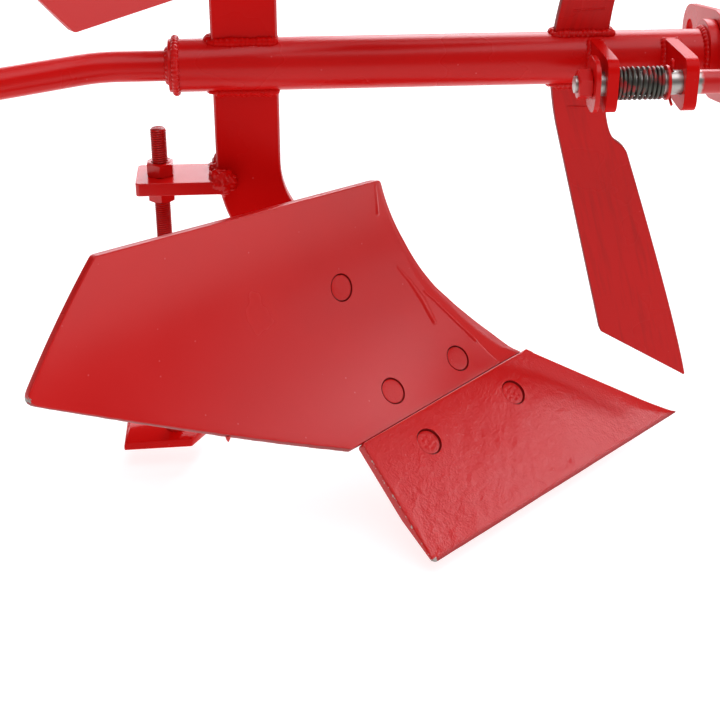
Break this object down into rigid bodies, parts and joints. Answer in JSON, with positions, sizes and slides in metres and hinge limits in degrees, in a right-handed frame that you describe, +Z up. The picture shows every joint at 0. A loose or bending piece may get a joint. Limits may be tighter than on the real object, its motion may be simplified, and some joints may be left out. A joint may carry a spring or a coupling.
{
  "type": "reversible tiller plough",
  "caption": "Reversible plough for a two-wheel tractor: mirrored mouldboard bodies on a turnover tube with coulters, heel soles, turning lever, sprung lock and pin hitch.",
  "frame": {"origin": "where the hitch pin's axis crosses the turnover axis, at the middle of the hitch bush", "axes": "+X forward along the turnover axis, towards the tractor; +Y to the land side, away from the throw of the mouldboards; +Z up along the hitch pin"},
  "size_m": [0.8881, 0.3128, 0.6276],
  "materials": {
    "red_paint": "glossy red spray paint over steel plate",
    "plated_steel": "zinc-plated fasteners",
    "bare_steel": "bright drawn steel rod",
    "spring_steel": "dark oiled spring wire",
    "black_rubber": "matt black grip"
  },
  "bodies": {
    "head": {"index_plate": "red_paint", "bearing_sleeve": "red_paint", "grease_nipple": "plated_steel", "front_plate": "red_paint", "hitch_plate_upper": "red_paint", "hitch_plate_lower": "red_paint", "hitch_bush": "red_paint"},
    "turnover": {"turnover_tube": "red_paint", "thrust_collar": "red_paint", "front_stub": "red_paint", "retaining_washer": "plated_steel", "retaining_nut": "plated_steel", "retaining_pin": "plated_steel", "rear_plug": "red_paint", "turning_lever": "red_paint", "lever_grip": "black_rubber", "lug_rear": "red_paint", "lug_front": "red_paint", "lower_leg": "red_paint", "lower_frog": "red_paint", "lower_brace": "red_paint", "lower_share": "red_paint", "lower_mouldboard": "red_paint", "lower_plough_bolts": "red_paint", "lower_plough_nuts": "red_paint", "lower_coulter": "red_paint", "lower_heel_bracket": "red_paint", "upper_leg": "red_paint", "upper_frog": "red_paint", "upper_brace": "red_paint", "upper_share": "red_paint", "upper_mouldboard": "red_paint", "upper_plough_bolts": "red_paint", "upper_plough_nuts": "red_paint", "upper_coulter": "red_paint", "upper_heel_bracket": "red_paint"},
    "plunger": {"plunger_rod": "bare_steel", "plunger_pin": "plated_steel", "spring_washer": "plated_steel", "pull_tab": "red_paint", "tab_nut": "plated_steel", "lock_spring": "spring_steel"},
    "lower_heel": {"lower_heel_rod": "red_paint", "lower_heel_sole": "red_paint"},
    "lower_nuts": {"lower_heel_nuts": "red_paint"},
    "upper_heel": {"upper_heel_rod": "red_paint", "upper_heel_sole": "red_paint"},
    "upper_nuts": {"upper_heel_nuts": "red_paint"}
  },
  "joints": [
    {"name": "turnover_swing", "type": "hinge", "parent": "head", "child": "turnover", "pos_m": [0, 0, 0], "axis": [1, 0, 0], "range_deg": [-180, 0]},
    {"name": "lock_slide", "type": "slide", "parent": "turnover", "child": "plunger", "axis": [1, 0, 0], "range_m": [0, 0.0047], "stiffness_N_per_m": 1500, "springref_m": 0.025, "deforming": ["lock_spring"]},
    {"name": "lower_heel_slide", "type": "slide", "parent": "turnover", "child": "lower_heel", "axis": [0, 0, 1], "range_m": [-0.014, 0.014]},
    {"name": "lower_nut_turn", "type": "hinge", "parent": "turnover", "child": "lower_nuts", "pos_m": [-0.566, 0, 0], "axis": [0, 0, 1], "range_deg": [-2890, 2890]},
    {"name": "upper_heel_slide", "type": "slide", "parent": "turnover", "child": "upper_heel", "axis": [0, 0, 1], "range_m": [-0.014, 0.014]},
    {"name": "upper_nut_turn", "type": "hinge", "parent": "turnover", "child": "upper_nuts", "pos_m": [-0.566, 0, 0], "axis": [0, 0, 1], "range_deg": [-2890, 2890]}
  ],
  "couplings": [
    {"joint": "lower_nut_turn", "follows": "lower_heel_slide", "rad_per_m": -3590.4},
    {"joint": "upper_nut_turn", "follows": "upper_heel_slide", "rad_per_m": -3590.4}
  ]
}
